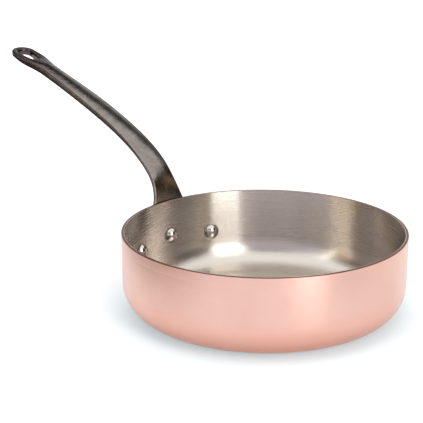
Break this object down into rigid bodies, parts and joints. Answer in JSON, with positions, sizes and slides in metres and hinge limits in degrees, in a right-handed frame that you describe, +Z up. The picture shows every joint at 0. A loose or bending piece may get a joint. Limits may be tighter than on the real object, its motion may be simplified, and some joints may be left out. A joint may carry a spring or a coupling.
{
  "type": "saute pan",
  "caption": "Round straight-sided saute pan, copper outside and steel inside, with a long bent cast iron handle riveted to its wall and an eye at the handle's tip.",
  "frame": {"origin": "middle of the flat base, on the surface that the pan stands on", "axes": "+Z up, the handle points along -X, and the pan is the same on both sides of the XZ plane"},
  "size_m": [0.4621, 0.24, 0.1788],
  "materials": {
    "polished_copper": "copper polished to a soft satin",
    "brushed_steel": "stainless steel brushed round the pan",
    "cast_iron": "sand-cast iron, oiled black-brown",
    "polished_steel": "polished stainless steel"
  },
  "bodies": {
    "root": {"copper_shell": "polished_copper", "steel_lining": "brushed_steel", "handle": "cast_iron", "rivet_left": "polished_steel", "rivet_middle": "polished_steel", "rivet_right": "polished_steel"}
  },
  "joints": []
}
